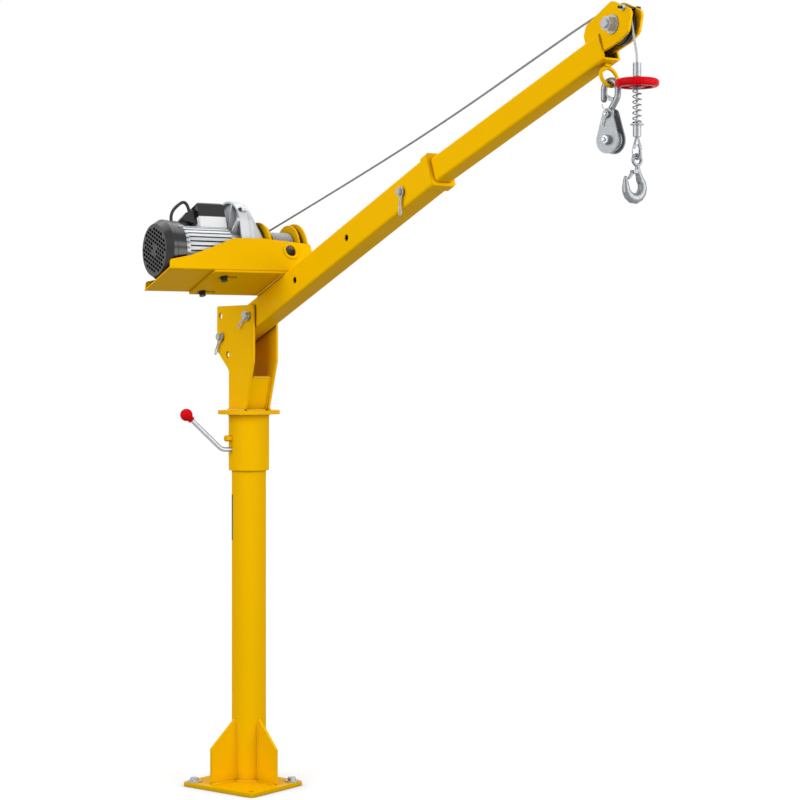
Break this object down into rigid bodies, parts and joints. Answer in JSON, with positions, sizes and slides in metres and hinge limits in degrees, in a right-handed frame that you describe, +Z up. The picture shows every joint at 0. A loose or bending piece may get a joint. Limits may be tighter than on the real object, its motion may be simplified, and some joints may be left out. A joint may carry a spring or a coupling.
{
  "type": "workshop jib crane",
  "caption": "Post-mounted swivel jib crane with a tilting telescopic boom, electric wire-rope hoist, load hook with a limit disc, and a snatch block hung from a ring.",
  "frame": {"origin": "on the post's axis at the underside of the floor plate", "axes": "+Z up along the post, +X along the boom as seen from above, +Y away from the fan end of the hoist"},
  "size_m": [1.7049, 0.4398, 1.804],
  "materials": {
    "yellow_powder_coat": "gloss powder coat",
    "zinc_plated_steel": "zinc plated",
    "black_steel": "black oxide",
    "bronze": "turned",
    "red_plastic": "gloss",
    "gear_steel": "machined",
    "black_plastic": "satin",
    "grey_plastic": "satin",
    "cast_aluminium": "die cast",
    "black_rubber": "matt",
    "rope_steel": "bare wire",
    "ferrule_aluminium": "pressed",
    "galvanised_steel": "galvanised"
  },
  "bodies": {
    "post": {"base_plate": "yellow_powder_coat", "base_gussets": "yellow_powder_coat", "post_tube": "yellow_powder_coat", "post_cap": "yellow_powder_coat", "anchor_fasteners": "zinc_plated_steel", "thrust_washer": "bronze"},
    "swivel_frame": {"swivel_sleeve": "yellow_powder_coat", "sleeve_bushes": "bronze", "swivel_flange": "yellow_powder_coat", "cheek_plates": "yellow_powder_coat", "cheek_web": "yellow_powder_coat", "pivot_pin": "zinc_plated_steel", "lock_pin": "zinc_plated_steel"},
    "clamp_lever": {"clamp_lever": "zinc_plated_steel", "lever_knob": "red_plastic"},
    "outer_boom": {"outer_boom": "yellow_powder_coat", "boom_collar": "yellow_powder_coat", "pivot_bush": "bronze", "extension_pin": "zinc_plated_steel", "hoist_mount_plate": "yellow_powder_coat", "hoist_tray": "yellow_powder_coat", "tray_fasteners": "black_steel", "drum_side_plates": "yellow_powder_coat", "stator": "gear_steel", "motor_housing": "cast_aluminium", "end_shield": "cast_aluminium", "fan_cover": "black_plastic", "capacitor_box": "grey_plastic", "capacitor_lid": "black_plastic", "cable_gland": "black_plastic", "motor_lead": "black_rubber", "gearbox_case": "cast_aluminium", "gearbox_cover": "cast_aluminium", "shaft_bearings": "gear_steel", "rope_run": "rope_steel"},
    "drum": {"winch_drum": "yellow_powder_coat", "drum_gear": "gear_steel", "rope_winding": "rope_steel"},
    "countershaft": {"countershaft": "gear_steel"},
    "rotor": {"rotor_shaft": "gear_steel", "cooling_fan": "black_plastic"},
    "inner_boom": {"inner_boom": "yellow_powder_coat", "head_plates": "yellow_powder_coat", "head_bolts": "zinc_plated_steel", "keeper_bolt": "black_steel", "hanging_ring": "yellow_powder_coat", "rope_over_sheave": "rope_steel"},
    "head_sheave": {"head_sheave": "gear_steel"},
    "hook_swing": {"rope_lead": "rope_steel"},
    "load_line": {"rope_drop": "rope_steel", "line_ferrules": "ferrule_aluminium", "rope_thimble": "zinc_plated_steel", "limit_spring": "zinc_plated_steel"},
    "limit_disc": {"limit_disc": "red_plastic"},
    "load_hook": {"load_hook": "galvanised_steel"},
    "hook_latch": {"hook_latch": "zinc_plated_steel"},
    "block": {"block_plates": "galvanised_steel", "block_hook": "galvanised_steel"},
    "block_latch": {"block_latch": "zinc_plated_steel"},
    "block_sheave": {"block_sheave": "gear_steel"}
  },
  "joints": [
    {"name": "boom_swivel", "type": "hinge", "parent": "post", "child": "swivel_frame", "pos_m": [0, 0, 0.9], "axis": [0, 0, 1], "continuous": true},
    {"name": "clamp_turn", "type": "hinge", "parent": "swivel_frame", "child": "clamp_lever", "pos_m": [0, -0.06, 0.8635], "axis": [0, -1, 0], "range_deg": [-90, 90]},
    {"name": "boom_tilt", "type": "hinge", "parent": "swivel_frame", "child": "outer_boom", "pos_m": [0.0633, 0, 1.2085], "axis": [0, -1, 0], "range_deg": [0, 6]},
    {"name": "boom_extend", "type": "slide", "parent": "outer_boom", "child": "inner_boom", "axis": [0.9469, 0, 0.3214], "range_m": [0, 0.08]},
    {"name": "drum_spin", "type": "hinge", "parent": "outer_boom", "child": "drum", "pos_m": [0.12354, 0, 1.37944], "axis": [0, 1, 0], "range_deg": [0, 1700]},
    {"name": "countershaft_spin", "type": "hinge", "parent": "outer_boom", "child": "countershaft", "pos_m": [0.10598, 0, 1.42519], "axis": [0, 1, 0], "range_deg": [-4708, 0]},
    {"name": "rotor_spin", "type": "hinge", "parent": "outer_boom", "child": "rotor", "pos_m": [0.12963, 0, 1.36357], "axis": [0, 1, 0], "range_deg": [0, 19193]},
    {"name": "head_sheave_spin", "type": "hinge", "parent": "inner_boom", "child": "head_sheave", "pos_m": [1.49601, 0, 1.75833], "axis": [0, 1, 0], "range_deg": [0, 1650]},
    {"name": "hook_swing", "type": "hinge", "parent": "inner_boom", "child": "hook_swing", "pos_m": [1.49601, 0, 1.75833], "axis": [0, -1, 0], "range_deg": [-6, 0]},
    {"name": "hook_lower", "type": "slide", "parent": "hook_swing", "child": "load_line", "axis": [0, 0, -1], "range_m": [0, 1.1]},
    {"name": "limit_disc_slide", "type": "slide", "parent": "load_line", "child": "limit_disc", "axis": [0, 0, -1], "range_m": [0, 0.02], "stiffness_N_per_m": 300, "springref_m": -0.01, "deforming": ["limit_spring"]},
    {"name": "load_hook_swing", "type": "hinge", "parent": "load_line", "child": "load_hook", "pos_m": [1.55058, 0, 1.48637], "axis": [1, 0, 0], "range_deg": [-25, 25]},
    {"name": "hook_latch_turn", "type": "hinge", "parent": "load_hook", "child": "hook_latch", "pos_m": [1.55058, -0.0095, 1.46287], "axis": [1, 0, 0], "range_deg": [0, 35], "stiffness_Nm_per_rad": 0.02, "springref_deg": -17.19},
    {"name": "block_swing", "type": "hinge", "parent": "inner_boom", "child": "block", "pos_m": [1.47073, 0, 1.63992], "axis": [0, -1, 0], "range_deg": [-6, 0]},
    {"name": "block_latch_turn", "type": "hinge", "parent": "block", "child": "block_latch", "pos_m": [1.4717, 0.00024, 1.61302], "axis": [-0.2419, 0.9703, 0], "range_deg": [0, 35], "stiffness_Nm_per_rad": 0.02, "springref_deg": -17.19},
    {"name": "block_sheave_spin", "type": "hinge", "parent": "block", "child": "block_sheave", "pos_m": [1.47073, 0, 1.53192], "axis": [-0.2419, 0.9703, 0], "continuous": true}
  ],
  "couplings": [
    {"joint": "countershaft_spin", "follows": "drum_spin", "ratio": -2.7692},
    {"joint": "rotor_spin", "follows": "drum_spin", "ratio": 11.29},
    {"joint": "head_sheave_spin", "follows": "drum_spin", "ratio": 0.96842},
    {"joint": "hook_lower", "follows": "drum_spin", "m_per_rad": 0.0368},
    {"joint": "hook_swing", "follows": "boom_tilt", "ratio": -1},
    {"joint": "block_swing", "follows": "boom_tilt", "ratio": -1}
  ]
}
